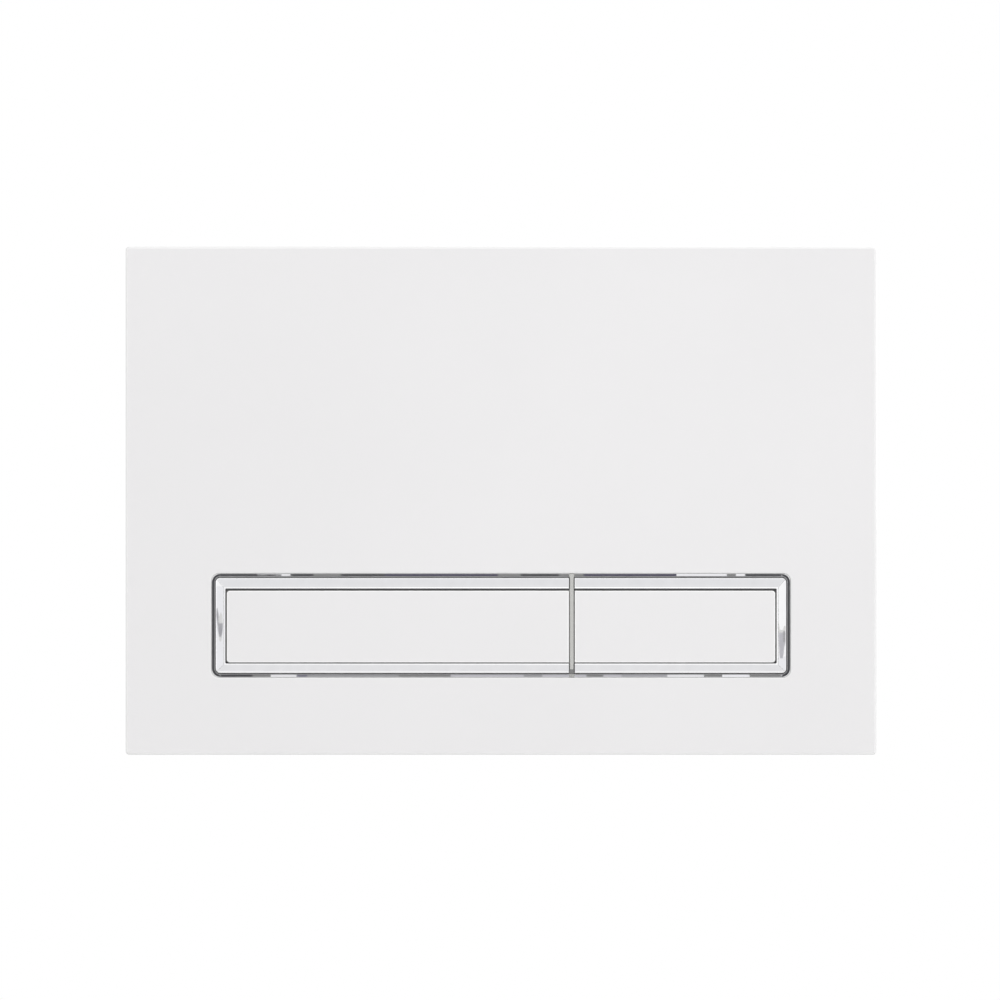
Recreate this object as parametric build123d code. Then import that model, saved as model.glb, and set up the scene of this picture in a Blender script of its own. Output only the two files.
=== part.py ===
from build123d import *
import os
from collections import namedtuple
from math import radians

# Dual flush plate for a concealed cistern, in millimetres.
# X runs along the plate, Z is up, and Y runs into the wall: the wall is the plane Y = 0,
# the plate's face looks along -Y, and the origin is the plate's centre on the wall.

# Cover panel: one white moulding, a shallow tray with its open side to the wall
plate_width = 246.0
plate_height = 166.5
plate_depth = 12.0
plate_corner_radius = 1.2
plate_edge_radius = 0.8
face_wall = 2.6
skirt_wall = 2.2
panel_rib = 1.4
panel_rib_height = 2.6
panel_rib_pitch_x = 40.0
panel_rib_pitch_z = 24.0
panel_rib_columns = 4
panel_rib_rows = 3
panel_rib_rise = 10.0

# Opening in the panel that the buttons show through
opening_side_margin = 28.05
opening_foot_margin = 25.3
opening_height = 34.2
opening_corner_radius = 2.7
opening_edge_radius = 0.35

# Chrome surround that lines the opening, with a divider between the buttons
fit_clearance = 0.1
rim_width = 1.2
rim_recess = 0.5
rim_bevel_width = 1.0
rim_bevel_depth = 0.4
rim_lip = 0.9
rim_relief = 0.3
flange_width = 2.4
flange_thickness = 1.2
divider_width = 1.64
divider_recess = 0.5
divider_gap = 0.13
divider_edge_radius = 0.35
divider_foot_gap = 1.2
divider_notch = 2.2

# Buttons: a chrome casting with a bevelled frame on three sides and a white inlay
small_button_width = 69.3
button_gap = 0.3
button_corner_radius = 1.5
crest_proud = 0.3
crest_rise = 0.5
bar_width = 3.15
top_bar_width = 3.5
crest_flat = 0.4
groove_width = 0.45
top_groove_width = 0.7
foot_groove_width = 0.3
recess_corner_radius = 0.35
inlay_thickness = 1.6
inlay_sink = 0.05
inlay_corner_radius = 1.0
inlay_edge_radius = 0.3
casting_floor = 1.4
casting_skirt = 1.5

# Levers that carry the buttons on the hinge pins
lever_clearance = 0.2
lever_plate = 2.0
lever_rib = 2.35
lever_rib_wall = 1.5
shield_thickness = 1.2
shield_lip = 1.6
shield_gap = 0.6
skirt_relief = 0.3
arm_width = 6.0
arm_inset = 15.0
eye_radius = 2.5
hinge_rise = 5.6
pin_radius = 1.5
pin_running_clearance = 0.05
pin_seat_clearance = 0.02
pin_end = 2.0
pin_chamfer = 0.3
press_angle = 8.0
tab_width = 8.0
tab_reach = 2.4
pusher_radius = 5.0
lever_screw_rise = 4.0
stop_gap = 0.1

# Carrier: the moulded frame behind the panel that holds the pins and the springs
carrier_plate = 2.0
carrier_side_bar = 12.5
carrier_top_bar = 10.0
carrier_catch_gap = 0.4
carrier_overlap = 1.2
carrier_corner_radius = 3.0
lug_width = 4.0
lug_gap = 0.3
lug_drop = 3.9
notch_margin = 1.0

# Return springs: bent strips of spring steel
spring_strip = 0.4
spring_width = 7.0
spring_bend_radius = 1.2
spring_contact_drop = 18.0
spring_pad_height = 3.0
spring_tail_drop = 2.5
spring_tail_kick = 1.25

# Screws, all pan head self-tappers
screw_radius = 1.1
screw_head_radius = 2.4
screw_head_height = 1.6
screw_head_rim = 0.8
screw_crown_radius = 1.44
screw_clearance = 0.15
pilot_clearance = 0.05
boss_radius = 2.6
boss_screw_skin = 1.2
casting_boss_height = 1.1
casting_boss_radius = 2.4

# Retaining rings pressed on the ends of the hinge pins
ring_radius = 3.0
ring_thickness = 0.6

# Mounting frame: the moulding clamped to the wall that the plate snaps onto
frame_side_margin = 7.8
frame_end_margin = 6.05
frame_bar = 11.5
frame_thickness = 3.0
frame_corner_radius = 5.0
collar_wall = 1.6
collar_depth = 5.0
ear_length = 18.0
ear_height = 20.0
ear_corner_radius = 3.0
ear_rise = 14.25
slot_length = 14.0
slot_clearance = 0.5
bridge_height = 13.0
bridge_thickness = 4.0
bridge_bend_radius = 2.5
leg_thickness = 4.0
guide_length = 10.0
guide_wall = 3.0
guide_clearance = 0.1

# Catches: sprung clips on the frame that grip studs on the panel
catch_x = 70.0
catch_strip = 0.4
catch_width = 6.0
catch_length = 4.6
catch_base_half = 2.5
catch_pinch = 1.7
catch_mouth = 2.7
catch_pocket = 0.6
stud_neck_radius = 1.3
stud_bulb_radius = 1.65
stud_base_radius = 2.2
stud_end_gap = 0.46

# Distance bolts that clamp the frame to the cistern's box
bolt_inset = 8.5
bolt_radius = 4.0
bolt_neck_radius = 3.7
bolt_neck_length = 4.0
bolt_length = 58.0
bolt_chamfer = 1.0
bolt_head_radius = 7.0
bolt_head_height = 3.6
bolt_slot_width = 1.6
bolt_slot_depth = 1.4
washer_radius = 8.0
washer_thickness = 0.8

# Push rods that carry each button's stroke to the flush valve
rod_spacing = 68.0
small_rod_inset = 9.85
rod_drop = 28.1
rod_radius = 3.5
rod_tip_radius = 3.0
rod_tip_length = 18.0
rod_length = 78.0
rod_end_chamfer = 0.6
adjuster_y = 0.3
adjuster_radius = 7.0
adjuster_thickness = 3.0
adjuster_sleeve_radius = 5.2
adjuster_sleeve_length = 4.0
adjuster_cap = 1.0
thread_clearance = 0.05
contact_gap = 0.3
rod_overtravel = 0.7

# Edges are picked by their place, to this nearness
same_place = 1e-4

# Depths, front to back, that follow from the sizes above
front_y = -plate_depth
face_back_y = front_y + face_wall
rim_y = front_y + rim_recess
divider_y = front_y + divider_recess
flange_back_y = face_back_y + flange_thickness
carrier_back_y = flange_back_y + carrier_plate
crest_y = front_y - crest_proud
button_edge_y = crest_y + crest_rise
inlay_front_y = crest_y + inlay_sink
floor_front_y = inlay_front_y + inlay_thickness
floor_back_y = floor_front_y + casting_floor
lever_back_y = floor_back_y + lever_plate
casting_back_y = lever_back_y - skirt_relief
rib_back_y = lever_back_y + lever_rib
hinge_y = (lever_back_y + rib_back_y) / 2
nose_y = adjuster_y - contact_gap

# Heights and widths that follow from the sizes above
opening_x = (opening_side_margin - plate_width / 2, plate_width / 2 - opening_side_margin)
opening_foot = opening_foot_margin - plate_height / 2
opening_z = (opening_foot, opening_foot + opening_height)
button_inset = rim_width + button_gap
button_z = (opening_z[0] + button_inset, opening_z[1] - button_inset)
hinge_z = opening_z[1] + hinge_rise
tab_z = opening_z[0] - tab_reach
flange_x = (opening_x[0] - flange_width, opening_x[1] + flange_width)
flange_z = (opening_z[0] - flange_width, opening_z[1] + flange_width)
carrier_window_x = (flange_x[0] + carrier_overlap, flange_x[1] - carrier_overlap)
carrier_window_z = (flange_z[0] + carrier_overlap, hinge_z + lug_drop)
frame_width = plate_width - 2 * (skirt_wall + frame_side_margin)
frame_height = plate_height - 2 * (skirt_wall + frame_end_margin)
frame_window_x = frame_width / 2 - frame_bar
frame_window_z = frame_height / 2 - frame_bar
catch_z = frame_height / 2 - frame_bar / 2
carrier_x = (carrier_window_x[0] - carrier_side_bar, carrier_window_x[1] + carrier_side_bar)
carrier_foot = catch_width / 2 + carrier_catch_gap - catch_z
carrier_z = (carrier_foot, carrier_window_z[1] + carrier_top_bar)
ear_z = carrier_z[1] + ear_rise
bolt_x = frame_window_x - bolt_inset
rod_z = hinge_z - rod_drop
rod_stroke = rod_drop * radians(press_angle)
bridge_y = adjuster_y + adjuster_thickness + adjuster_sleeve_length + rod_stroke + rod_overtravel

# The two buttons. side is the end that the frame closes: -1 the left end, 1 the right end.
Button = namedtuple("Button", "name x side rod_x spring_shares screw_shares")
small_x = (opening_x[1] - button_inset - small_button_width, opening_x[1] - button_inset)
divider_x = small_x[0] - divider_gap - divider_width / 2
large_x = (opening_x[0] + button_inset, divider_x - divider_width / 2 - divider_gap)
small_rod_x = small_x[0] + small_rod_inset
LARGE = Button("large", large_x, -1, small_rod_x - rod_spacing, (0.3, 0.7), (0.06, 0.36, 0.64, 0.94))
SMALL = Button("small", small_x, 1, small_rod_x, (0.5,), (0.1, 0.66, 0.9))
BUTTONS = (LARGE, SMALL)


def block(x, y, z):
    """Block between two X, two Y and two Z values, each given as a pair."""
    spans = (x, y, z)
    middle = [(low + high) / 2 for low, high in spans]
    size = [high - low for low, high in spans]
    return Pos(*middle) * Box(*size)


def tablet(x, y, z, radius):
    """Block whose four corners are round when it is seen from the front."""
    outline = RectangleRounded(x[1] - x[0], z[1] - z[0], radius)
    placed = Plane.XZ.offset(-y[1]) * Pos((x[0] + x[1]) / 2, (z[0] + z[1]) / 2) * outline
    return extrude(placed, y[1] - y[0])


def grown(span, amount):
    """The span with both ends moved outwards by an amount, or inwards if it is negative."""
    return (span[0] - amount, span[1] + amount)


def around(middle, size):
    """The span of a size about its middle."""
    return (middle - size / 2, middle + size / 2)


def bar_along_y(x, z, radius, y):
    """Round bar that runs front to back."""
    return Pos(x, (y[0] + y[1]) / 2, z) * Rot(90, 0, 0) * Cylinder(radius, y[1] - y[0])


def bar_along_x(x, y, z, radius):
    """Round bar that runs along the plate."""
    return Pos((x[0] + x[1]) / 2, y, z) * Rot(0, 90, 0) * Cylinder(radius, x[1] - x[0])


def turned(points, x, z):
    """Turned piece about an axis that runs front to back; points are (radius, y)."""
    return Pos(x, 0, z) * revolve(make_face(Polyline(*points, close=True)), Axis.Y)


def edges_in_front_plane(shape, y, x, z):
    """Edges of the shape that lie in the plane of a y, within two spans."""
    found = []
    for edge in shape.edges():
        box = edge.bounding_box()
        flat = abs(box.min.Y - y) < same_place and abs(box.max.Y - y) < same_place
        within_x = box.min.X > x[0] - same_place and box.max.X < x[1] + same_place
        within_z = box.min.Z > z[0] - same_place and box.max.Z < z[1] + same_place
        if flat and within_x and within_z:
            found.append(edge)
    return found


def shares_along(button, shares):
    """X values at shares of a button's length, counted from its left end."""
    left, right = button.x
    return [left + share * (right - left) for share in shares]


def arm_places(button):
    """X of a button's two lever arms."""
    return (button.x[0] + arm_inset, button.x[1] - arm_inset)


def carrier_screw_places():
    """X and Z of the screws that hold the carrier to the panel."""
    side = (carrier_window_x[1] + carrier_x[1]) / 2
    top = (carrier_window_z[1] + carrier_z[1]) / 2
    bottom = carrier_z[0] + boss_radius
    return [(-side, top), (divider_x, top), (side, top), (-side, bottom), (side, bottom)]


def spring_places(button):
    """X of a button's return springs."""
    return shares_along(button, button.spring_shares)


def lever_screw_places(button):
    """X and Z of the screws that hold a button's lever to its casting."""
    z = (button_z[0] + button_z[1]) / 2 + lever_screw_rise
    return [(x, z) for x in shares_along(button, button.screw_shares)]


def screw(x, z, seat_y, length):
    """Screw driven from the back, its head seated at a y and its shank running forward."""
    head_top = seat_y + screw_head_height
    profile = [
        (0, seat_y - length),
        (screw_radius, seat_y - length),
        (screw_radius, seat_y),
        (screw_head_radius, seat_y),
        (screw_head_radius, seat_y + screw_head_rim),
        (screw_crown_radius, head_top),
        (0, head_top),
    ]
    return turned(profile, x, z)


def catch_stud(x, z):
    """Stud on the back of the panel, with a bulb that a catch clip grips behind its pinch."""
    bulb_y = -frame_thickness - catch_length / 4
    pinch_y = -frame_thickness - catch_length / 2
    end_y = -frame_thickness - stud_end_gap
    profile = [
        (0, face_back_y),
        (stud_base_radius, face_back_y),
        (stud_neck_radius, -frame_thickness - catch_length),
        (stud_neck_radius, pinch_y),
        (stud_bulb_radius, bulb_y),
        (stud_neck_radius, end_y),
        (0, end_y),
    ]
    return turned(profile, x, z)


def catch_places():
    """X and Z of the four catches."""
    return [(x, z) for z in (-catch_z, catch_z) for x in (-catch_x, catch_x)]


def cover_panel():
    """White tray with the button opening, stiffening ribs, screw bosses and catch studs."""
    x = around(0, plate_width)
    z = around(0, plate_height)
    panel = tablet(x, (front_y, 0), z, plate_corner_radius)
    panel = fillet(edges_in_front_plane(panel, front_y, x, z), plate_edge_radius)
    panel -= block(grown(x, -skirt_wall), (face_back_y, 0), grown(z, -skirt_wall))
    panel -= tablet(opening_x, (front_y, face_back_y), opening_z, opening_corner_radius)
    panel = fillet(edges_in_front_plane(panel, front_y, opening_x, opening_z), opening_edge_radius)
    rib_y = (face_back_y, face_back_y + panel_rib_height)
    lowest_row = carrier_z[1] + panel_rib_rise
    rows = [lowest_row + panel_rib_pitch_z * count for count in range(panel_rib_rows)]
    columns = [panel_rib_pitch_x * (count - (panel_rib_columns - 1) / 2) for count in range(panel_rib_columns)]
    for column in columns:
        panel += block(around(column, panel_rib), rib_y, grown((rows[0], rows[-1]), panel_rib / 2))
    for row in rows:
        panel += block(grown((columns[0], columns[-1]), panel_rib / 2), rib_y, around(row, panel_rib))
    pilot_y = (front_y + boss_screw_skin, flange_back_y)
    for place in carrier_screw_places():
        panel += bar_along_y(*place, boss_radius, (face_back_y, flange_back_y))
        panel -= bar_along_y(*place, screw_radius + pilot_clearance, pilot_y)
    for place in catch_places():
        panel += catch_stud(*place)
    return panel


def button_surround():
    """Chrome lining of the opening: a bevelled rim, a flange behind the panel and the divider.

    Behind its lip the lining is relieved, which leaves room for the foot of a button as it swings in."""
    y = (rim_y, flange_back_y)
    window_x = grown(opening_x, -rim_width)
    window_z = grown(opening_z, -rim_width)
    lining_x = grown(opening_x, -fit_clearance)
    lining_z = grown(opening_z, -fit_clearance)
    ring = tablet(lining_x, y, lining_z, opening_corner_radius - fit_clearance)
    ring += tablet(flange_x, (face_back_y, flange_back_y), flange_z, opening_corner_radius + flange_width)
    window_radius = button_corner_radius + button_gap
    ring -= tablet(window_x, y, window_z, window_radius)
    relief_x = grown(window_x, rim_relief)
    relief_z = grown(window_z, rim_relief)
    ring -= tablet(relief_x, (rim_y + rim_lip, flange_back_y), relief_z, window_radius + rim_relief)
    rim_face = ring.faces().filter_by(Axis.Y).sort_by(Axis.Y)[0]
    inner_edges = edges_in_front_plane(ring, rim_y, window_x, window_z)
    ring = chamfer(inner_edges, rim_bevel_width, rim_bevel_depth, reference=rim_face)
    divider_span = around(divider_x, divider_width)
    divider = block(divider_span, (divider_y, flange_back_y), lining_z)
    front_edges = edges_in_front_plane(divider, divider_y, divider_span, opening_z)
    long_edges = [edge for edge in front_edges if edge.length > divider_width + same_place]
    divider = fillet(long_edges, divider_edge_radius)
    notch_z = (lining_z[0], button_z[0] + divider_foot_gap)
    divider -= block(divider_span, (divider_y, divider_y + divider_notch), notch_z)
    return ring + divider


def button_slab(button, insets, y, radius):
    """Slab of a button's outline, square at the divider; insets are those of its end, foot and top."""
    end_inset, foot_inset, top_inset = insets
    outer = button.x[0] + end_inset if button.side < 0 else button.x[1] - end_inset
    inner = button.x[1] if button.side < 0 else button.x[0]
    past_inner = inner - button.side * 2 * radius
    z = (button_z[0] + foot_inset, button_z[1] - top_inset)
    rounded = tablet(tuple(sorted((outer, past_inner))), y, z, radius)
    return rounded & block(tuple(sorted((outer, inner))), y, z)


def button_crown(button):
    """The bevelled front of a casting: planes that rise from three edges and meet in mitres."""
    bevel = bar_width - crest_flat
    top_bevel = top_bar_width - crest_flat
    outer = button.x[0] if button.side < 0 else button.x[1]
    past_inner = (button.x[1] if button.side < 0 else button.x[0]) - button.side * bar_width
    sections = []
    for y, inset, top_inset in ((button_edge_y, 0, 0), (crest_y, bevel, top_bevel)):
        x = sorted((outer - button.side * inset, past_inner))
        z = (button_z[0] + inset, button_z[1] - top_inset)
        outline = Pos((x[0] + x[1]) / 2, (z[0] + z[1]) / 2) * Rectangle(x[1] - x[0], z[1] - z[0])
        sections.append(Plane.XZ.offset(-y) * outline)
    roof = loft(sections, ruled=True)
    return roof & button_slab(button, (0, 0, 0), (crest_y, button_edge_y), button_corner_radius)


def button_frame(button):
    """Chrome casting of a button: bevelled frame, floor for the inlay, skirt and screw bosses."""
    casting = button_slab(button, (0, 0, 0), (button_edge_y, casting_back_y), button_corner_radius)
    casting += button_crown(button)
    bars = (bar_width, bar_width, top_bar_width)
    casting -= button_slab(button, bars, (crest_y, floor_front_y), recess_corner_radius)
    hollow_x = grown(button.x, -casting_skirt)
    hollow_z = grown(button_z, -casting_skirt)
    casting -= block(hollow_x, (floor_back_y, casting_back_y), hollow_z)
    boss_back_y = floor_back_y + casting_boss_height
    for place in lever_screw_places(button):
        casting += bar_along_y(*place, casting_boss_radius, (floor_back_y, boss_back_y))
        casting -= bar_along_y(*place, screw_radius + pilot_clearance, (floor_front_y, boss_back_y))
    return casting


def button_inlay(button):
    """White insert that fills a casting's frame, with softened front edges."""
    y = (inlay_front_y, floor_front_y)
    insets = (bar_width + groove_width, bar_width + foot_groove_width, top_bar_width + top_groove_width)
    inlay = button_slab(button, insets, y, inlay_corner_radius)
    edges = edges_in_front_plane(inlay, inlay_front_y, button.x, button_z)
    return fillet(edges, inlay_edge_radius)


def tab_places(button):
    """X of the two tabs that stop a button behind the surround's flange."""
    return [x + side * (arm_width + tab_width) for x, side in zip(arm_places(button), (1, -1))]


def button_lever(button):
    """Moulded lever behind a casting: plate, shield behind the gap, ribs, arms, stop tabs and pusher."""
    plate_x = grown(button.x, -casting_skirt - lever_clearance)
    plate_z = grown(button_z, -casting_skirt - lever_clearance)
    rib_y = (lever_back_y, rib_back_y)
    lever = block(plate_x, (floor_back_y, lever_back_y), plate_z)
    outer = (button.x[0] if button.side < 0 else button.x[1]) + button.side * shield_lip
    shield_x = tuple(sorted((outer, divider_x + button.side * shield_gap / 2)))
    shield_y = (lever_back_y, lever_back_y + shield_thickness)
    lever += block(shield_x, shield_y, grown(button_z, shield_lip))
    rim = block(plate_x, rib_y, plate_z)
    rim -= block(grown(plate_x, -lever_rib_wall), rib_y, grown(plate_z, -lever_rib_wall))
    lever += rim
    for arm in arm_places(button):
        span = around(arm, arm_width)
        lever += block(span, rib_y, (plate_z[0], hinge_z))
        lever += bar_along_x(span, hinge_y, hinge_z, eye_radius)
        lever -= bar_along_x(span, hinge_y, hinge_z, pin_radius + pin_running_clearance)
    for tab in tab_places(button):
        lever += block(around(tab, tab_width), rib_y, (tab_z, plate_z[0] + lever_rib_wall))
    for x in spring_places(button):
        contact_z = hinge_z - spring_contact_drop
        lever += block(around(x, spring_width), rib_y, around(contact_z, spring_pad_height))
    ball_y = nose_y - pusher_radius
    lever += bar_along_y(button.rod_x, rod_z, pusher_radius, (lever_back_y, ball_y))
    lever += Pos(button.rod_x, ball_y, rod_z) * Rot(-90, 0, 0) * Sphere(pusher_radius, 0)
    pocket_y = (floor_back_y, floor_back_y + casting_boss_height + lever_clearance)
    for place in lever_screw_places(button):
        lever -= bar_along_y(*place, casting_boss_radius + lever_clearance, pocket_y)
        lever -= bar_along_y(*place, screw_radius + screw_clearance, (floor_back_y, shield_y[1]))
    return lever


def lever_screws(button):
    """Screws that hold a button's lever to its casting."""
    seat_y = lever_back_y + shield_thickness
    length = seat_y - floor_back_y + casting_floor / 2
    return Compound(children=[screw(*place, seat_y, length) for place in lever_screw_places(button)])


def lug_spans(button):
    """X spans of the four lugs that flank a button's two hinge arms."""
    reach = arm_width / 2 + lug_gap + lug_width / 2
    return [around(arm + side * reach, lug_width) for arm in arm_places(button) for side in (-1, 1)]


def button_carrier():
    """Frame behind the panel: it clamps the surround and carries the hinge lugs and springs."""
    y = (flange_back_y, carrier_back_y)
    carrier = tablet(carrier_x, y, carrier_z, carrier_corner_radius)
    carrier -= block(carrier_window_x, y, carrier_window_z)
    notch_z = (tab_z - notch_margin, carrier_window_z[0])
    for button in BUTTONS:
        for tab in tab_places(button):
            carrier -= block(around(tab, tab_width + 2 * notch_margin), y, notch_z)
        for span in lug_spans(button):
            root_z = (hinge_z, carrier_window_z[1] + eye_radius)
            carrier += block(span, (flange_back_y, hinge_y + eye_radius), root_z)
            carrier += bar_along_x(span, hinge_y, hinge_z, eye_radius - fit_clearance)
            carrier -= bar_along_x(span, hinge_y, hinge_z, pin_radius + pin_seat_clearance)
        for x in spring_places(button):
            carrier -= bar_along_y(x, spring_screw_z(), screw_radius + pilot_clearance, y)
    for place in carrier_screw_places():
        carrier -= bar_along_y(*place, screw_radius + screw_clearance, y)
    return carrier


def carrier_screws():
    """Screws that hold the carrier to the panel."""
    length = carrier_back_y - front_y - boss_screw_skin - screw_clearance
    return Compound(children=[screw(*place, carrier_back_y, length) for place in carrier_screw_places()])


def pin_span(button):
    """X span of a button's hinge pin, past its outer lugs."""
    spans = lug_spans(button)
    return (spans[0][0] - pin_end, spans[-1][1] + pin_end)


def hinge_pin(button):
    """Steel pin that a button's lever turns on."""
    pin = bar_along_x(pin_span(button), hinge_y, hinge_z, pin_radius)
    return chamfer(pin.edges().filter_by(GeomType.CIRCLE), pin_chamfer)


def hinge_rings(button):
    """Retaining rings on both ends of a hinge pin, against the outer lugs."""
    spans = lug_spans(button)
    rings = []
    for x in ((spans[0][0] - ring_thickness, spans[0][0]), (spans[-1][1], spans[-1][1] + ring_thickness)):
        ring = bar_along_x(x, hinge_y, hinge_z, ring_radius)
        rings.append(ring - bar_along_x(x, hinge_y, hinge_z, pin_radius + pin_seat_clearance))
    return Compound(children=rings)


def spring_screw_z():
    """Z of the screws that hold the return springs to the carrier."""
    return (carrier_window_z[1] + carrier_z[1]) / 2


def return_spring(x):
    """Bent strip fixed to the carrier that presses a lever forward, clear of the hinge pin."""
    seat_y = carrier_back_y + spring_strip / 2
    over_pin_y = hinge_y + eye_radius - spring_strip
    touch_y = rib_back_y + stop_gap + spring_strip / 2
    contact_z = hinge_z - spring_contact_drop
    path = FilletPolyline(
        (seat_y, carrier_z[1] - spring_strip),
        (seat_y, carrier_window_z[1]),
        (over_pin_y, hinge_z),
        (over_pin_y, hinge_z - eye_radius),
        (touch_y, contact_z),
        (touch_y + spring_tail_kick, contact_z - spring_tail_drop),
        radius=spring_bend_radius,
    )
    strip = extrude(Plane.YZ.offset(x - spring_width / 2) * trace(path, spring_strip), spring_width)
    hole_y = (carrier_back_y, carrier_back_y + spring_strip)
    return strip - bar_along_y(x, spring_screw_z(), screw_radius + screw_clearance, hole_y)


def spring_screws():
    """Screws that hold the return springs to the carrier."""
    seat_y = carrier_back_y + spring_strip
    places = [x for button in BUTTONS for x in spring_places(button)]
    length = carrier_plate + spring_strip + flange_thickness / 2
    return Compound(children=[screw(x, spring_screw_z(), seat_y, length) for x in places])


def stop_pads():
    """Rubber pads behind the surround's flange that the stop tabs rest against."""
    y = (flange_back_y, lever_back_y - stop_gap)
    z = (tab_z + fit_clearance, opening_z[0] - fit_clearance)
    places = [x for button in BUTTONS for x in tab_places(button)]
    return Compound(children=[block(around(x, tab_width), y, z) for x in places])


def arch_block(half_width, back_y, radius):
    """Block across the frame's window from its front to a y, with its two back corners rounded."""
    body = block((-half_width, half_width), (-frame_thickness, back_y), around(rod_z, bridge_height))
    return fillet(body.edges().filter_by(Axis.Z).group_by(Axis.Y)[-1], radius)


def rod_bridge():
    """Arch over the frame's window that the rods pass through: two legs and a bar in one bent wall."""
    outside = arch_block(frame_window_x, bridge_y + bridge_thickness, bridge_bend_radius + bridge_thickness)
    return outside - arch_block(frame_window_x - leg_thickness, bridge_y, bridge_bend_radius)


def mounting_frame():
    """Frame on the wall: flange, collar, bolt ears, clip pockets and the bridge that guides the rods."""
    flange_y = (-frame_thickness, 0)
    outer_x = around(0, frame_width)
    outer_z = around(0, frame_height)
    window_x = (-frame_window_x, frame_window_x)
    window_z = (-frame_window_z, frame_window_z)
    frame = tablet(outer_x, flange_y, outer_z, frame_corner_radius)
    frame -= block(window_x, flange_y, window_z)
    collar_y = (-frame_thickness, collar_depth)
    collar = block(window_x, collar_y, window_z)
    frame += collar - block(grown(window_x, -collar_wall), collar_y, grown(window_z, -collar_wall))
    ear_root = frame_window_x + ear_corner_radius
    for side in (-1, 1):
        ear_x = tuple(sorted((side * ear_root, side * (frame_window_x - ear_length))))
        frame += tablet(ear_x, flange_y, around(ear_z, ear_height), ear_corner_radius)
        slot = SlotOverall(slot_length, 2 * (bolt_neck_radius + slot_clearance), rotation=90)
        placed = Plane.XZ * Pos(side * bolt_x, ear_z) * slot
        frame -= extrude(placed, frame_thickness)
    frame += rod_bridge()
    guide_y = (bridge_y, bridge_y + guide_length)
    for button in BUTTONS:
        bore = rod_radius + guide_clearance
        frame += bar_along_y(button.rod_x, rod_z, bore + guide_wall, guide_y)
        frame -= bar_along_y(button.rod_x, rod_z, bore, guide_y)
    pocket_y = (-frame_thickness, -frame_thickness + catch_pocket)
    pocket_width = 2 * catch_base_half + catch_strip + 2 * fit_clearance
    for x, z in catch_places():
        frame -= block(around(x, pocket_width), pocket_y, around(z, catch_width + 2 * fit_clearance))
    return frame


def catch_clip(x, z):
    """Sprung clip of bent strip, seated in its pocket with its mouth towards the panel."""
    seat_y = -frame_thickness + catch_pocket - catch_strip / 2
    pinch_y = -frame_thickness - catch_length / 2
    mouth_y = -frame_thickness - catch_length
    half = [(catch_mouth, mouth_y), (catch_pinch, pinch_y), (catch_base_half, seat_y)]
    path = FilletPolyline(
        *[(-across, y) for across, y in half],
        *[(across, y) for across, y in reversed(half)],
        radius=catch_strip,
    )
    strip = Pos(x, 0, z - catch_width / 2) * trace(path, catch_strip)
    return extrude(strip, catch_width)


def catch_clips():
    """The four sprung clips that hold the panel on the frame."""
    return Compound(children=[catch_clip(*place) for place in catch_places()])


def distance_bolt(side):
    """Slotted bolt through a frame ear, with a thinner neck where it passes the slot."""
    x = side * bolt_x
    seat_y = -frame_thickness - washer_thickness
    head_y = seat_y - bolt_head_height
    profile = [
        (0, head_y),
        (bolt_head_radius - bolt_chamfer, head_y),
        (bolt_head_radius, head_y + bolt_chamfer),
        (bolt_head_radius, seat_y),
        (bolt_neck_radius, seat_y),
        (bolt_neck_radius, bolt_neck_length),
        (bolt_radius, bolt_neck_length),
        (bolt_radius, bolt_length - bolt_chamfer),
        (bolt_radius - bolt_chamfer, bolt_length),
        (0, bolt_length),
    ]
    slot_x = grown((x, x), bolt_head_radius)
    slot_y = (head_y, head_y + bolt_slot_depth)
    return turned(profile, x, ear_z) - block(slot_x, slot_y, around(ear_z, bolt_slot_width))


def bolt_washers():
    """Plain washers under the heads of the distance bolts."""
    y = (-frame_thickness - washer_thickness, -frame_thickness)
    washers = []
    for side in (-1, 1):
        place = (side * bolt_x, ear_z)
        washer = bar_along_y(*place, washer_radius, y)
        washers.append(washer - bar_along_y(*place, bolt_neck_radius + fit_clearance, y))
    return Compound(children=washers)


def push_rod(button):
    """Rod with a thinner tip at its far end, screwed into its adjuster at the near end."""
    start_y = adjuster_y + adjuster_cap + contact_gap
    end_y = adjuster_y + rod_length
    tip_y = end_y - rod_tip_length
    profile = [
        (0, start_y),
        (rod_radius, start_y),
        (rod_radius, tip_y),
        (rod_tip_radius, tip_y + rod_radius - rod_tip_radius),
        (rod_tip_radius, end_y - rod_end_chamfer),
        (rod_tip_radius - rod_end_chamfer, end_y),
        (0, end_y),
    ]
    return turned(profile, button.rod_x, rod_z)


def rod_adjuster(button):
    """Capped nut on the near end of a rod: the face that the button's pusher meets."""
    back_y = adjuster_y + adjuster_thickness
    edge = rod_end_chamfer
    bore = rod_radius + thread_clearance
    cap_y = adjuster_y + adjuster_cap
    profile = [
        (0, adjuster_y),
        (adjuster_radius - edge, adjuster_y),
        (adjuster_radius, adjuster_y + edge),
        (adjuster_radius, back_y - edge),
        (adjuster_radius - edge, back_y),
        (adjuster_sleeve_radius, back_y),
        (adjuster_sleeve_radius, back_y + adjuster_sleeve_length),
        (bore, back_y + adjuster_sleeve_length),
        (bore, cap_y),
        (0, cap_y),
    ]
    return turned(profile, button.rod_x, rod_z)


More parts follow.
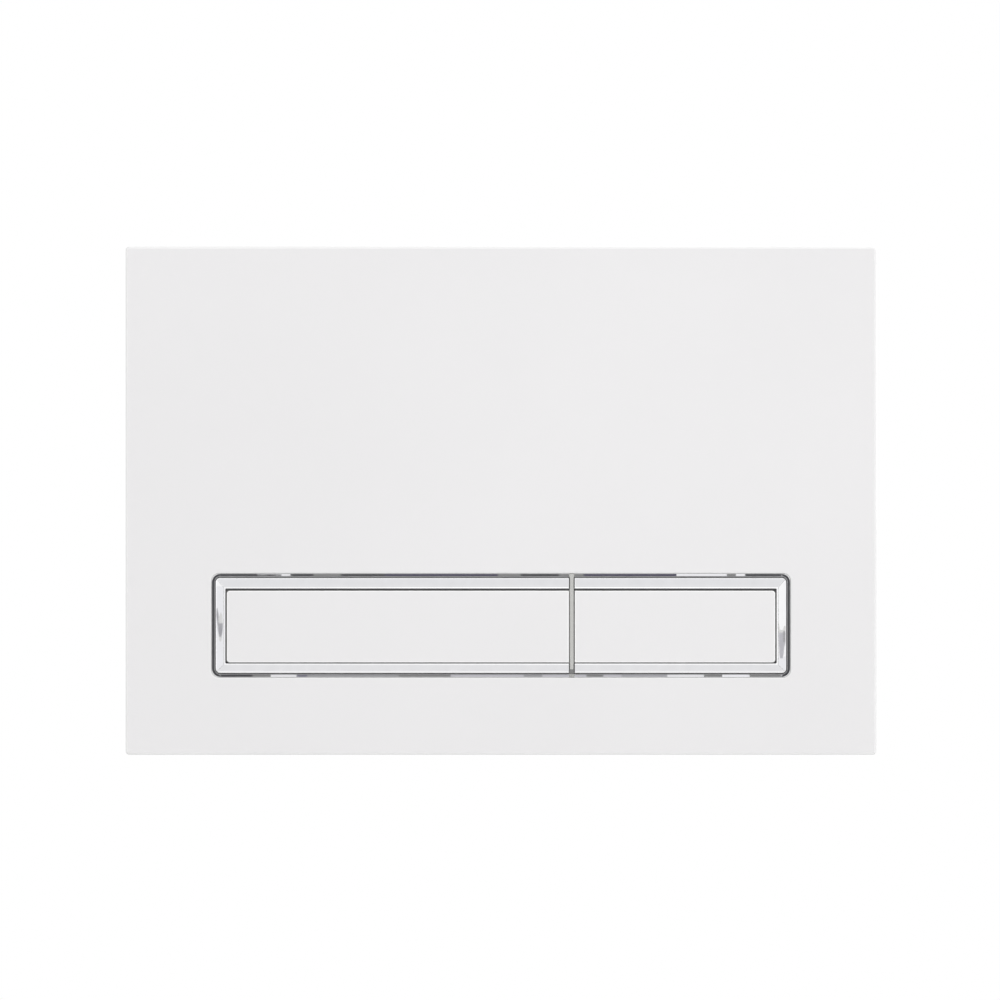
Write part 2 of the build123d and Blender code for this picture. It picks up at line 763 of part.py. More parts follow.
def pieces():
    """Every piece of the plate by its name."""
    made = {
        "cover_panel": cover_panel(),
        "button_surround": button_surround(),
        "button_carrier": button_carrier(),
        "carrier_screws": carrier_screws(),
        "spring_screws": spring_screws(),
        "stop_pads": stop_pads(),
        "mounting_frame": mounting_frame(),
        "catch_clips": catch_clips(),
        "left_distance_bolt": distance_bolt(-1),
        "right_distance_bolt": distance_bolt(1),
        "bolt_washers": bolt_washers(),
    }
    for button in BUTTONS:
        made[button.name + "_button_frame"] = button_frame(button)
        made[button.name + "_button_inlay"] = button_inlay(button)
        made[button.name + "_button_lever"] = button_lever(button)
        made[button.name + "_lever_screws"] = lever_screws(button)
        made[button.name + "_hinge_pin"] = hinge_pin(button)
        made[button.name + "_hinge_rings"] = hinge_rings(button)
    for x, name in zip(spring_places(LARGE), ("large_left_spring", "large_right_spring")):
        made[name] = return_spring(x)
    made["small_spring"] = return_spring(spring_places(SMALL)[0])
    for button, flush in ((LARGE, "full"), (SMALL, "half")):
        made[flush + "_flush_rod"] = push_rod(button)
        made[flush + "_flush_adjuster"] = rod_adjuster(button)
    return made


os.makedirs("parts", exist_ok=True)
for name, piece in pieces().items():
    export_step(piece, os.path.join("parts", name + ".step"))
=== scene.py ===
import math

import bmesh
import bpy
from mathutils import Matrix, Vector


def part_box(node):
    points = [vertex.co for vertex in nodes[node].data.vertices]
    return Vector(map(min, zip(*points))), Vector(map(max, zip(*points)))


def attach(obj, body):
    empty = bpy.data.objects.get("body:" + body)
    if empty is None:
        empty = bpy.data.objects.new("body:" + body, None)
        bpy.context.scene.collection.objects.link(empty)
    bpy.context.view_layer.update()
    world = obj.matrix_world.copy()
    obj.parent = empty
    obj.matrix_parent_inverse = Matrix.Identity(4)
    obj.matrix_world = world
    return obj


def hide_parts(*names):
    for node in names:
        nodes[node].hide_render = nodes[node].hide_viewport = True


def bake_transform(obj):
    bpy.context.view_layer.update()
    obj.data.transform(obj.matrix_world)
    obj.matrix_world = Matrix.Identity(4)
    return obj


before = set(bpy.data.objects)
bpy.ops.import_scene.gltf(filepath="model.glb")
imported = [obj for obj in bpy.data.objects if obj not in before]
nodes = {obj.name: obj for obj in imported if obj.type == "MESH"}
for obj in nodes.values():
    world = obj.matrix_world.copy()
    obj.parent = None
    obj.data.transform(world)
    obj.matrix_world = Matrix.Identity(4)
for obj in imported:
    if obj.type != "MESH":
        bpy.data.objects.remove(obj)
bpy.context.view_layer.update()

# Mounting frame: the grey moulding that is clamped to the wall and that the plate snaps onto.
# Injection-moulded polypropylene, with the fine sparked grain of its tool and a low sheen.
MM = 0.001
noise_span = (0.3, 0.7)


def put(tree, kind, inputs, **settings):
    """Adds a shader node with its settings, and sets or links its inputs."""
    made = tree.nodes.new("ShaderNode" + kind)
    for key, value in settings.items():
        setattr(made, key, value)
    for socket, value in inputs.items():
        if isinstance(value, bpy.types.NodeSocket):
            tree.links.new(value, made.inputs[socket])
        else:
            made.inputs[socket].default_value = value
    return made


def blank(name):
    """A new material: its node tree, its shader and the place on the piece, in metres."""
    material = bpy.data.materials.new(name)
    material.use_nodes = True
    tree = material.node_tree
    place = tree.nodes.new("ShaderNodeTexCoord").outputs["Object"]
    return material, tree, tree.nodes["Principled BSDF"], place


def noise(tree, place, scale, detail):
    """Cloudy noise, with a number of cells to the metre."""
    return put(tree, "TexNoise", {"Vector": place, "Scale": scale, "Detail": detail}).outputs["Fac"]


def tinted(colour, share):
    """A colour made darker or lighter by a share."""
    return [share * part for part in colour]


def shades(tree, value, dark, light, source=noise_span):
    """Colours that run from dark to light as a value crosses its source range."""
    ramp = put(tree, "ValToRGB", {"Fac": value})
    for stop, at, colour in zip(ramp.color_ramp.elements, source, (dark, light)):
        stop.position = at
        stop.color = (*colour, 1)
    return ramp.outputs["Color"]


def spread(tree, value, low, high, source=noise_span):
    """A number that runs from low to high as a value crosses its source range."""
    limits = {"From Min": source[0], "From Max": source[1], "To Min": low, "To Max": high}
    return put(tree, "MapRange", {"Value": value, **limits}).outputs["Result"]


def coat(tree, shader, colour, roughness):
    """Gives a shader its colour and its roughness."""
    tree.links.new(colour, shader.inputs["Base Color"])
    tree.links.new(roughness, shader.inputs["Roughness"])


def relief(tree, shader, height, strength, depth):
    """Raises a surface by a height between 0 and 1, of a depth in metres."""
    bump = put(tree, "Bump", {"Height": height, "Strength": strength, "Distance": depth})
    tree.links.new(bump.outputs["Normal"], shader.inputs["Normal"])


def grained(name, colour, roughness, grain, depth):
    """Moulded plastic: a fine grain, and a slight drift of shade and sheen over the piece."""
    material, tree, shader, place = blank(name)
    drift = noise(tree, place, scale=35.0, detail=3.0)
    tone = shades(tree, drift, tinted(colour, 0.95), tinted(colour, 1.03))
    coat(tree, shader, tone, spread(tree, drift, roughness - 0.06, roughness + 0.06))
    relief(tree, shader, noise(tree, place, scale=1 / grain, detail=2.0), strength=0.5, depth=depth)
    return material


def dress(material, *names):
    """Gives CAD nodes their finish."""
    for name in names:
        for place in nodes[name].material_slots:
            place.material = material


frame_grey = grained("frame_grey", (0.33, 0.345, 0.36), roughness=0.48, grain=0.6 * MM, depth=0.04 * MM)
dress(frame_grey, "mounting_frame")

# Catch clips: four bent strips of spring steel, pressed into pockets in the mounting frame.
# Their mouths face the plate and grip the studs on its back.


def rolled_steel(name, colour, roughness, stretch):
    """Bright strip or wire: fine lines along one direction, and a faint bloom."""
    material, tree, shader, place = blank(name)
    shader.inputs["Metallic"].default_value = 1.0
    drawn = put(tree, "Mapping", {"Vector": place, "Scale": stretch}).outputs["Vector"]
    lines = noise(tree, drawn, scale=1.0, detail=3.0)
    bloom = noise(tree, place, scale=120.0, detail=2.0)
    tone = shades(tree, bloom, tinted(colour, 0.82), colour)
    coat(tree, shader, tone, spread(tree, lines, roughness - 0.08, roughness + 0.1))
    relief(tree, shader, lines, strength=0.35, depth=0.01 * MM)
    return material


clip_steel = rolled_steel("clip_steel", (0.62, 0.61, 0.58), roughness=0.3, stretch=(900, 900, 9000))
dress(clip_steel, "catch_clips")

# Distance bolts: two slotted plastic bolts that clamp the mounting frame to the cistern's box.
# Turned by a coin from the front, with a coarse moulded thread and a thinner neck in the frame's slot.
same_point = 0.0001 * MM


def axis_of(low, high):
    """X and Z of the line from front to back through the middle of a box."""
    return (low.x + high.x) / 2, (low.z + high.z) / 2


def lathe(bm, outline, centre, segments, lobes=0, lobe_depth=0.0, lobe_radius=0.0):
    """Closed turned shape about a line from front to back; outline is (radius, y) pairs.

    Rims wider than lobe_radius are cut into that many lobes."""
    rings = []
    for radius, y in outline:
        if radius == 0:
            rings.append([bm.verts.new((centre[0], y, centre[1]))])
            continue
        ring = []
        for step in range(segments):
            angle = 2 * math.pi * step / segments
            cut = lobe_depth * (0.5 - 0.5 * math.cos(lobes * angle)) if radius > lobe_radius else 0
            across = (radius - cut) * math.cos(angle)
            up = (radius - cut) * math.sin(angle)
            ring.append(bm.verts.new((centre[0] + across, y, centre[1] + up)))
        rings.append(ring)
    for near, far in zip(rings, rings[1:]):
        for step in range(segments):
            after = (step + 1) % segments
            near_edge = (near[step % len(near)], near[after % len(near)])
            far_edge = (far[after % len(far)], far[step % len(far)])
            bm.faces.new(list(dict.fromkeys((*near_edge, *far_edge))))
    return bm


def thread(bm, span, centre, crest, root, pitch, segments):
    """Closed bar with a helical thread that runs front to back between two y values.

    The form gives the shares of a pitch at which a flank starts or ends, and the radius there."""
    form = ((0.0, root), (0.22, crest), (0.5, crest), (0.72, root))
    columns = segments * (math.ceil((span[1] - span[0]) / pitch) + 2)
    grid = []
    for column in range(columns + 1):
        angle = 2 * math.pi * column / segments
        line = []
        for share, radius in form:
            y = span[0] + pitch * (column / segments + share - 1)
            inside = span[0] < y < span[1]
            out = radius if inside else root
            y = min(max(y, span[0]), span[1])
            across = out * math.cos(angle)
            up = out * math.sin(angle)
            line.append(bm.verts.new((centre[0] + across, y, centre[1] + up)))
        grid.append(line)
    for column in range(columns):
        for row in range(len(form)):
            far = (0, segments) if row == len(form) - 1 else (row + 1, 0)
            if column + 1 + far[1] > columns:
                continue
            near = (grid[column][row], grid[column + 1][row])
            past = (grid[column + 1 + far[1]][far[0]], grid[column + far[1]][far[0]])
            bm.faces.new((*near, *past))
    bmesh.ops.remove_doubles(bm, verts=bm.verts, dist=same_point)
    bmesh.ops.dissolve_degenerate(bm, edges=bm.edges, dist=same_point)
    bmesh.ops.holes_fill(bm, edges=bm.edges)
    bmesh.ops.recalc_face_normals(bm, faces=bm.faces)
    return bm


def slab(bm, low, high):
    """Plain block between two corners, used as a cutter."""
    made = bmesh.ops.create_cube(bm, size=1.0)["verts"]
    for vertex in made:
        for axis in range(3):
            vertex.co[axis] = high[axis] if vertex.co[axis] > 0 else low[axis]
    return bm


def carved(bm, tool):
    """The shape with the tool's shape cut out of it."""
    holders = []
    for shape in (bm, tool):
        mesh = bpy.data.meshes.new("carving")
        bmesh.ops.recalc_face_normals(shape, faces=shape.faces)
        shape.to_mesh(mesh)
        shape.free()
        holder = bpy.data.objects.new("carving", mesh)
        bpy.context.scene.collection.objects.link(holder)
        holders.append(holder)
    cut = holders[0].modifiers.new("cut", "BOOLEAN")
    cut.object = holders[1]
    cut.solver = "EXACT"
    worked = holders[0].evaluated_get(bpy.context.evaluated_depsgraph_get())
    result = bmesh.new()
    result.from_mesh(worked.to_mesh())
    worked.to_mesh_clear()
    for holder in holders:
        bpy.data.objects.remove(holder)
    return result


def joined(*shapes):
    """One mesh of several closed shapes."""
    mesh = bpy.data.meshes.new("joining")
    whole = bmesh.new()
    for shape in shapes:
        bmesh.ops.recalc_face_normals(shape, faces=shape.faces)
        shape.to_mesh(mesh)
        shape.free()
        whole.from_mesh(mesh)
    bpy.data.meshes.remove(mesh)
    return whole


def finished(name, bm, material, crease=35):
    """The object made of a shape, smooth except at creases sharper than an angle."""
    mesh = bpy.data.meshes.new(name)
    bmesh.ops.recalc_face_normals(bm, faces=bm.faces)
    bm.to_mesh(mesh)
    bm.free()
    mesh.materials.append(material)
    mesh.shade_smooth()
    mesh.set_sharp_from_angle(angle=math.radians(crease))
    made = bpy.data.objects.new(name, mesh)
    bpy.context.scene.collection.objects.link(made)
    return made


bolt_grey = grained("bolt_grey", (0.30, 0.31, 0.325), roughness=0.42, grain=0.5 * MM, depth=0.03 * MM)
bolt_radius, bolt_core, bolt_pitch = 4.0 * MM, 3.35 * MM, 3.0 * MM
bolt_neck, bolt_neck_end, bolt_thread_start = 3.7 * MM, 4.0 * MM, 3.2 * MM
bolt_end_radius, bolt_end_round = 2.7 * MM, 0.6 * MM
bolt_lap = 1.0 * MM
bolt_segments = 48
head_height = 3.6 * MM
head_round = ((1.6, 0), (1.0, 0.15), (0.3, 0.5), (0, 1.2))
head_flutes, head_flute_depth, head_flute_inset = 18, 0.35 * MM, 0.5 * MM
coin_slot_half, coin_slot_depth, coin_slot_past = 0.8 * MM, 1.4 * MM, 1.1
for side in ("left", "right"):
    low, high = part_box(side + "_distance_bolt")
    axis = axis_of(low, high)
    head_radius = (high.x - low.x) / 2
    head_back = low.y + head_height
    rounding = [(head_radius - inward * MM, low.y + back * MM) for inward, back in head_round]
    outline = [(0, low.y), *rounding, (head_radius, head_back), (0, head_back)]
    head = lathe(
        bmesh.new(), outline, axis, 4 * head_flutes,
        lobes=head_flutes, lobe_depth=head_flute_depth, lobe_radius=head_radius - head_flute_inset,
    )
    slot_reach = coin_slot_past * head_radius
    slot_low = (axis[0] - slot_reach, low.y - bolt_lap, axis[1] - coin_slot_half)
    slot_high = (axis[0] + slot_reach, low.y + coin_slot_depth, axis[1] + coin_slot_half)
    head = carved(head, slab(bmesh.new(), slot_low, slot_high))
    neck_start = head_back - bolt_lap
    neck = lathe(bmesh.new(), [
        (0, neck_start), (bolt_neck, neck_start), (bolt_neck, bolt_neck_end), (0, bolt_neck_end),
    ], axis, bolt_segments)
    thread_span = (bolt_thread_start, high.y - bolt_lap)
    shank = thread(bmesh.new(), thread_span, axis, bolt_radius, bolt_core, bolt_pitch, bolt_segments)
    point_start = high.y - 2 * bolt_lap
    point = lathe(bmesh.new(), [
        (0, point_start), (bolt_core, point_start), (bolt_core, high.y - bolt_end_round),
        (bolt_end_radius, high.y), (0, high.y),
    ], axis, bolt_segments)
    bolt = finished(side + "_bolt", joined(head, neck, shank, point), bolt_grey)
    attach(bolt, "plate")
    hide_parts(side + "_distance_bolt")

# Bolt washers: a plain zinc-plated washer under the head of each distance bolt.
# Stamped from sheet, with a dull silver bloom.
washer_zinc = rolled_steel("washer_zinc", (0.60, 0.61, 0.62), roughness=0.36, stretch=(2500, 2500, 2500))
dress(washer_zinc, "bolt_washers")

# Push rods: two white acetal rods that slide in the guides of the mounting frame.
# Threaded where the adjuster screws on and along the part that is cut to length, smooth at the tip.
rod_white = grained("rod_white", (0.79, 0.785, 0.765), roughness=0.34, grain=1.2 * MM, depth=0.01 * MM)
rod_radius, rod_core, rod_pitch = 3.5 * MM, 3.1 * MM, 1.5 * MM
rod_tip_radius, rod_tip_length, rod_end_round = 3.0 * MM, 18 * MM, 0.6 * MM
rod_thread_end, rod_lap, rod_shoulder = 46 * MM, 3 * MM, 0.6 * MM
rod_segments = 48
for flush in ("full", "half"):
    low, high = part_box(flush + "_flush_rod")
    axis = axis_of(low, high)
    body_end = high.y - rod_tip_length
    plain_start = rod_thread_end - rod_lap
    thread_span = (low.y, rod_thread_end)
    shank = thread(bmesh.new(), thread_span, axis, rod_radius, rod_core, rod_pitch, rod_segments)
    tip = lathe(bmesh.new(), [
        (0, plain_start), (rod_core, plain_start), (rod_core, rod_thread_end + rod_shoulder),
        (rod_radius, rod_thread_end + 2 * rod_shoulder), (rod_radius, body_end),
        (rod_tip_radius, body_end + rod_radius - rod_tip_radius), (rod_tip_radius, high.y - rod_end_round),
        (rod_tip_radius - rod_end_round / 3, high.y - rod_end_round / 3),
        (rod_tip_radius - rod_end_round, high.y), (0, high.y),
    ], axis, rod_segments)
    rod = finished(flush + "_rod", joined(shank, tip), rod_white)
    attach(rod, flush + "_rod")
    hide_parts(flush + "_flush_rod")

# Rod adjusters: a capped plastic nut on the near end of each rod, which the button's pusher meets.
# The rim is fluted for the fingers, and turning it takes up the play between button and valve.
adjuster_grey = grained("adjuster_grey", (0.17, 0.21, 0.25), roughness=0.4, grain=0.5 * MM, depth=0.02 * MM)
nut_flange, nut_cap, nut_bore = 3.0 * MM, 1.0 * MM, 3.55 * MM
nut_sleeve, nut_sleeve_end, nut_sleeve_edge = 5.2 * MM, 4.9 * MM, 0.4 * MM
nut_front_round = ((1.1, 0), (0.45, 0.12), (0.1, 0.45), (0, 0.8))
nut_back_round = ((0, 0.7), (0.25, 0.25), (0.7, 0))
nut_flutes, nut_flute_depth, nut_flute_start = 24, 0.5 * MM, 5.6 * MM
for flush in ("full", "half"):
    low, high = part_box(flush + "_flush_adjuster")
    nut_radius = (high.x - low.x) / 2
    flange_back = low.y + nut_flange
    front = [(nut_radius - inward * MM, low.y + back * MM) for inward, back in nut_front_round]
    back = [(nut_radius - inward * MM, flange_back - ahead * MM) for inward, ahead in nut_back_round]
    outline = [
        (0, low.y), *front, *back, (nut_sleeve, flange_back), (nut_sleeve, high.y - nut_sleeve_edge),
        (nut_sleeve_end, high.y), (nut_bore, high.y), (nut_bore, low.y + nut_cap), (0, low.y + nut_cap),
    ]
    nut = lathe(
        bmesh.new(), outline, axis_of(low, high), 4 * nut_flutes,
        lobes=nut_flutes, lobe_depth=nut_flute_depth, lobe_radius=nut_flute_start,
    )
    adjuster = finished(flush + "_adjuster", nut, adjuster_grey)
    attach(adjuster, flush + "_rod")
    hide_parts(flush + "_flush_adjuster")

# Cover panel: the white tray that shows, with a flat face and a narrow rounded edge.
# Moulded in high-gloss plastic, so the face has a faint waviness and a clear reflection.
edge_turn = (-0.999, -0.96)
side_turn = (-0.5, -0.1)


def part_of(tree, vector, axis):
    """The X, Y or Z of a vector."""
    return put(tree, "SeparateXYZ", {"Vector": vector}).outputs[axis]


def calc(tree, operation, *values):
    """The result of a sum on sockets and numbers."""
    return put(tree, "Math", dict(enumerate(values)), operation=operation).outputs[0]


def over(tree, share, under, colour):
    """A plain colour laid over another, by a share from 0 to 1."""
    mix = put(tree, "MixRGB", {"Fac": share, "Color1": under, "Color2": (*colour, 1)})
    return mix.outputs["Color"]


def gloss_moulding(name, colour, roughness, edge_radius, edge_highlight_colour):
    """High-gloss plastic: an even colour, the slow waviness of a polished tool, and a painted highlight
    along its rounded edges.
    """
    material, tree, shader, place = blank(name)
    broad = noise(tree, place, scale=14.0, detail=2.0)
    haze = noise(tree, place, scale=400.0, detail=3.0)
    face = shades(tree, broad, tinted(colour, 0.985), colour)
    # Painted highlight: the colour turns lighter near the edges, where the rounded normal turns away from
    # the front.
    rounded = put(tree, "Bevel", {"Radius": edge_radius}, samples=16).outputs["Normal"]
    turned_out = part_of(tree, rounded, "Y")
    edge = spread(tree, turned_out, 0.0, 1.0, edge_turn)
    side = spread(tree, turned_out, 1.0, 0.0, side_turn)
    tone = over(tree, calc(tree, "MULTIPLY", edge, side), face, edge_highlight_colour)
    coat(tree, shader, tone, spread(tree, haze, roughness - 0.03, roughness + 0.03))
    relief(tree, shader, broad, strength=0.3, depth=0.1 * MM)
    return material


panel_colour = (0.83, 0.822, 0.83)
# Its rounded edge gets a painted highlight, lighter than the face.
panel_white = gloss_moulding(
    "panel_white", panel_colour, roughness=0.12, edge_radius=0.16 * MM, edge_highlight_colour=(0.9, 0.9, 0.9))
dress(panel_white, "cover_panel")

# Button surround: the chrome lining of the opening, with its bevelled rim and the divider.
# Moulded in plastic and bright chrome plated, then clamped behind the panel by the carrier.
# The top of the divider is brushed to a satin, and deep in the gap the chrome is painted dark grey as
# painted shade.
chrome_colour = (0.94, 0.941, 0.95)
satin_colour, satin_roughness = (0.53, 0.53, 0.515), 0.25
divider_x, satin_band = 23.2 * MM, (0.82 * MM, 0.95 * MM)
gap_shade_colour = (0.25, 0.25, 0.25)
gap_shade_band = (-10.9 * MM, -10.4 * MM)


def chrome_plate(name, edge_radius):
    """Bright chrome over a moulding, with slightly rounded edges and a breath of haze.

    Its colour and roughness are given back too, for the piece to change and lay on."""
    material, tree, shader, place = blank(name)
    shader.inputs["Metallic"].default_value = 1.0
    haze = noise(tree, place, scale=260.0, detail=3.0)
    tone = shades(tree, haze, tinted(chrome_colour, 0.97), chrome_colour)
    gloss = spread(tree, haze, 0.006, 0.02)
    edge = put(tree, "Bevel", {"Radius": edge_radius}, samples=8).outputs["Normal"]
    tree.links.new(edge, shader.inputs["Normal"])
    return material, tree, shader, place, tone, gloss


surround_chrome, tree, shader, place, bright, gloss = chrome_plate("polished_chrome", edge_radius=0.06 * MM)
beside = calc(tree, "ABSOLUTE", calc(tree, "SUBTRACT", part_of(tree, place, "X"), divider_x))
satin = spread(tree, beside, 1.0, 0.0, satin_band)
# Painted shade: the chrome turns dark grey deep in the gap, where shade falls.
gap_shade = spread(tree, part_of(tree, place, "Y"), 0.0, 1.0, gap_shade_band)
surround_tone = over(tree, gap_shade, over(tree, satin, bright, satin_colour), gap_shade_colour)
coat(tree, shader, surround_tone, calc(tree, "MULTIPLY_ADD", satin, satin_roughness, gloss))
dress(surround_chrome, "button_surround")

# Button carrier: the black moulding behind the panel that clamps the surround.
# Its lugs hold the hinge pins, and its top bar takes the screws of the return springs.
carrier_colour = (0.032, 0.032, 0.034)
carrier_black = grained("carrier_black", carrier_colour, roughness=0.42, grain=0.5 * MM, depth=0.03 * MM)
dress(carrier_black, "button_carrier")

# Hinge pins and rings: a ground steel pin for each button, held at its ends by two pressed rings.
# Zinc plated, with the marks of grinding round the pin.
pin_steel = rolled_steel("pin_steel", (0.66, 0.66, 0.67), roughness=0.24, stretch=(9000, 500, 500))
dress(pin_steel, "large_hinge_pin", "small_hinge_pin")
ring_steel = rolled_steel("ring_steel", (0.5, 0.5, 0.51), roughness=0.34, stretch=(3000, 900, 900))
dress(ring_steel, "large_hinge_rings", "small_hinge_rings")

# Screws: pan-head self-tappers for the carrier, the springs and the levers, all driven from the back.
# Zinc-plated steel with a domed head, a cross recess and a coarse thread in the plastic.
screw_head, screw_rim_share = 1.6 * MM, 0.35
screw_dome_angles = (0, 18, 36, 54, 70, 82)
screw_radius, screw_core, screw_pitch = 1.1 * MM, 0.78 * MM, 0.9 * MM
screw_thread_start, screw_thread_lap = 0.5 * MM, 0.2 * MM
screw_tip_radius, screw_tip_length = 0.2 * MM, 0.6 * MM
cross_arm_share, cross_half_share, cross_depth = 0.58, 0.16, 1.05 * MM
head_segments, shank_segments = 40, 24


def solids_of(name):
    """The lowest and highest corners of each separate solid in a CAD node."""
    shape = bmesh.new()
    shape.from_mesh(nodes[name].data)
    bmesh.ops.remove_doubles(shape, verts=shape.verts, dist=10 * same_point)
    left = set(shape.verts)
    boxes = []
    while left:
        waiting = [left.pop()]
        found = []
        while waiting:
            vertex = waiting.pop()
            found.append(vertex.co.copy())
            near = {edge.other_vert(vertex) for edge in vertex.link_edges} & left
            left -= near
            waiting.extend(near)
        lows = Vector([min(place[axis] for place in found) for axis in range(3)])
        highs = Vector([max(place[axis] for place in found) for axis in range(3)])
        boxes.append((lows, highs))
    shape.free()
    return sorted(boxes, key=lambda box: (round(box[0].z, 5), round(box[0].x, 5)))


def tapping_screw(low, high):
    """One screw in the box of its solid: the head at the back, the shank running forward."""
    axis = axis_of(low, high)
    radius = (high.x - low.x) / 2
    seat = high.y - screw_head
    rim = seat + screw_rim_share * screw_head
    dome = []
    for angle in screw_dome_angles:
        turn = math.radians(angle)
        dome.append((radius * math.cos(turn), rim + (high.y - rim) * math.sin(turn)))
    head = lathe(bmesh.new(), [(0, seat), (radius, seat), *dome, (0, high.y)], axis, head_segments)
    arm, half = cross_arm_share * radius, cross_half_share * radius
    for across, up in ((arm, half), (half, arm)):
        cross_low = (axis[0] - across, high.y - cross_depth, axis[1] - up)
        cross_high = (axis[0] + across, high.y + screw_head, axis[1] + up)
        head = carved(head, slab(bmesh.new(), cross_low, cross_high))
    thread_span = (low.y + screw_thread_start, seat + screw_thread_lap)
    shank = thread(bmesh.new(), thread_span, axis, screw_radius, screw_core, screw_pitch, shank_segments)
    tip_end = low.y + screw_tip_length
    tip_outline = [(0, low.y), (screw_tip_radius, low.y), (screw_core, tip_end), (0, tip_end)]
    return joined(head, shank, lathe(bmesh.new(), tip_outline, axis, shank_segments))


screw_zinc = rolled_steel("screw_zinc", (0.64, 0.64, 0.65), roughness=0.28, stretch=(1500, 1500, 1500))
for name, body in (
    ("carrier_screws", "plate"),
    ("spring_screws", "plate"),
    ("large_lever_screws", "large_button"),
    ("small_lever_screws", "small_button"),
):
    shape = joined(*[tapping_screw(low, high) for low, high in solids_of(name)])
    screws = finished(name + "_set", shape, screw_zinc)
    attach(screws, body)
    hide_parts(name)

# Levers: one grey moulding behind each button, with ribs, two hinge arms, stop tabs and a pusher.
# Glass-filled nylon with a low sheen, screwed to the back of the button's casting.
lever_grey = grained("lever_grey", (0.58, 0.585, 0.59), roughness=0.4, grain=0.5 * MM, depth=0.03 * MM)
dress(lever_grey, "large_button_lever", "small_button_lever")

# Return springs: three bent strips of spring steel, screwed to the carrier above the hinge.
# Each one runs over the pin and presses its lever forward.
strip_thickness, strip_bend_radius, strip_spacing = 0.4 * MM, 1.2 * MM, 0.8 * MM
arc_steps = 8
seat_y, over_pin_y, touch_y, tail_y = -6.0, -3.975, -4.6, -3.35
strip_top_z, seat_foot_z, pin_z, eye_foot_z, touch_z, tail_z = -4.65, -14.25, -18.15, -20.65, -36.15, -38.65
screw_hole_radius, screw_hole_z, screw_hole_y = 1.25 * MM, -9.25 * MM, (-8 * MM, -4 * MM)


def rounded_path(corners, radius, spacing):
    """Points along straight runs with an arc at each corner, close enough together to bend."""
    line = [Vector(corners[0])]
    for before, corner, after in zip(corners, corners[1:], corners[2:]):
        corner = Vector(corner)
        back = (Vector(before) - corner).normalized()
        ahead = (Vector(after) - corner).normalized()
        half = back.angle(ahead) / 2
        middle = corner + (back + ahead).normalized() * (radius / math.sin(half))
        first = corner + back * (radius / math.tan(half)) - middle
        last = corner + ahead * (radius / math.tan(half)) - middle
        for step in range(arc_steps + 1):
            line.append(middle + first.normalized().slerp(last.normalized(), step / arc_steps) * radius)
    line.append(Vector(corners[-1]))
    dense = [line[0]]
    for start, end in zip(line, line[1:]):
        count = max(1, round((end - start).length / spacing))
        dense += [start.lerp(end, step / count) for step in range(1, count + 1)]
    return dense


def bent_strip(path, thick, x):
    """Strip of a thickness that follows a path of (y, z) points, between two x values."""
    shape = bmesh.new()
    soft = 0.25 * thick
    section = [(x[0] + soft, -1), (x[0], -0.5), (x[0], 0.5), (x[0] + soft, 1),
               (x[1] - soft, 1), (x[1], 0.5), (x[1], -0.5), (x[1] - soft, -1)]
    rows = []
    for index, point in enumerate(path):
        run = path[min(index + 1, len(path) - 1)] - path[max(index - 1, 0)]
        across = Vector((-run.y, run.x)).normalized() * (thick / 2)
        rows.append([shape.verts.new((at, *(point + across * face))) for at, face in section])
    for near, far in zip(rows, rows[1:]):
        for index in range(len(section)):
            after = (index + 1) % len(section)
            shape.faces.new((near[index], near[after], far[after], far[index]))
    shape.faces.new(rows[0])
    shape.faces.new(rows[-1])
    bmesh.ops.recalc_face_normals(shape, faces=shape.faces)
    return shape


spring_route = [
    (seat_y, strip_top_z), (seat_y, seat_foot_z), (over_pin_y, pin_z),
    (over_pin_y, eye_foot_z), (touch_y, touch_z), (tail_y, tail_z),
]
spring_path = rounded_path([(y * MM, z * MM) for y, z in spring_route], strip_bend_radius, strip_spacing)
spring_steel = rolled_steel("spring_steel", (0.58, 0.575, 0.56), roughness=0.26, stretch=(9000, 700, 700))
for name, body in (
    ("large_left_spring", "large_button"),
    ("large_right_spring", "large_button"),
    ("small_spring", "small_button"),
):
    low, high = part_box(name)
    middle = (low.x + high.x) / 2
    strip = bent_strip(spring_path, strip_thickness, (low.x, high.x))
    hole = lathe(bmesh.new(), [
        (0, screw_hole_y[0]), (screw_hole_radius, screw_hole_y[0]),
        (screw_hole_radius, screw_hole_y[1]), (0, screw_hole_y[1]),
    ], (middle, screw_hole_z), 32)
    spring = finished(name + "_leaf", carved(strip, hole), spring_steel, crease=50)
    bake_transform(spring)
    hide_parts(name)

# Stop pads: four small blocks of black rubber behind the surround's flange.
# They are stuck in place, and the tabs of the levers come back against them without a click.
pad_rubber = grained("pad_rubber", (0.04, 0.04, 0.042), roughness=0.78, grain=0.35 * MM, depth=0.05 * MM)
dress(pad_rubber, "stop_pads")

# Button frames: the bright chrome castings that the finger presses, with a bevel on three sides.
# Their sides are painted a dull grey and the groove round the inlay a dark grey, rough and not metal, as
# painted shade in the gaps.
side_shade_colour, groove_shade_colour, shade_roughness = (0.47, 0.47, 0.48), (0.2, 0.2, 0.205), 0.45
groove_band = (-11.7 * MM, -11.4 * MM)
side_wall_turn = (0.3, 0.6)
button_chrome, tree, shader, place, bright, gloss = chrome_plate("button_chrome", edge_radius=0.32 * MM)
